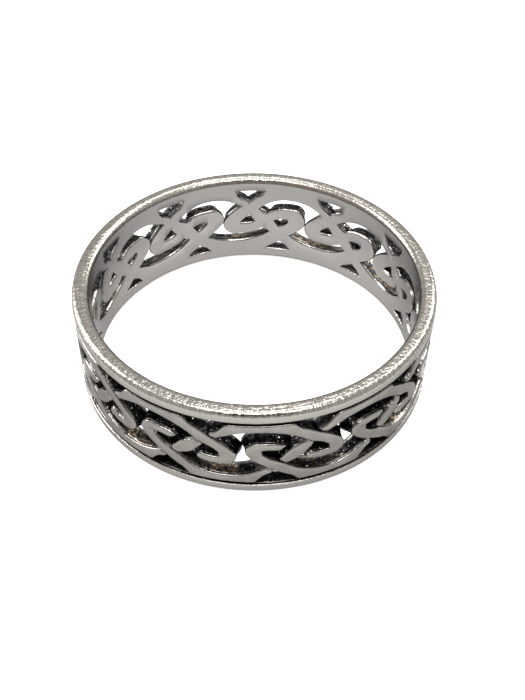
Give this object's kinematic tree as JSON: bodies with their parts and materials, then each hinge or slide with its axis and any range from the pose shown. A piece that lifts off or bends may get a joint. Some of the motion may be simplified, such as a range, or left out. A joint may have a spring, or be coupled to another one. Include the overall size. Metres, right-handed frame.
{
  "type": "pierced knotwork finger ring",
  "caption": "Plain-rimmed band ring, pierced all round with an interlaced knot of one strand, smooth inside, worn on a finger.",
  "frame": {"origin": "on the ring's axis, in the plane of the lower rim that it lies on", "axes": "+Z along the finger, up as the ring lies; the middle of one knot stands 283 degrees from +X towards +Y"},
  "size_m": [0.02, 0.02, 0.0062],
  "materials": {
    "silver": "satin polished silver, rims and strand tops bright, gap walls and grooves blackened"
  },
  "bodies": {
    "root": {"knot_band": "silver"}
  },
  "joints": []
}
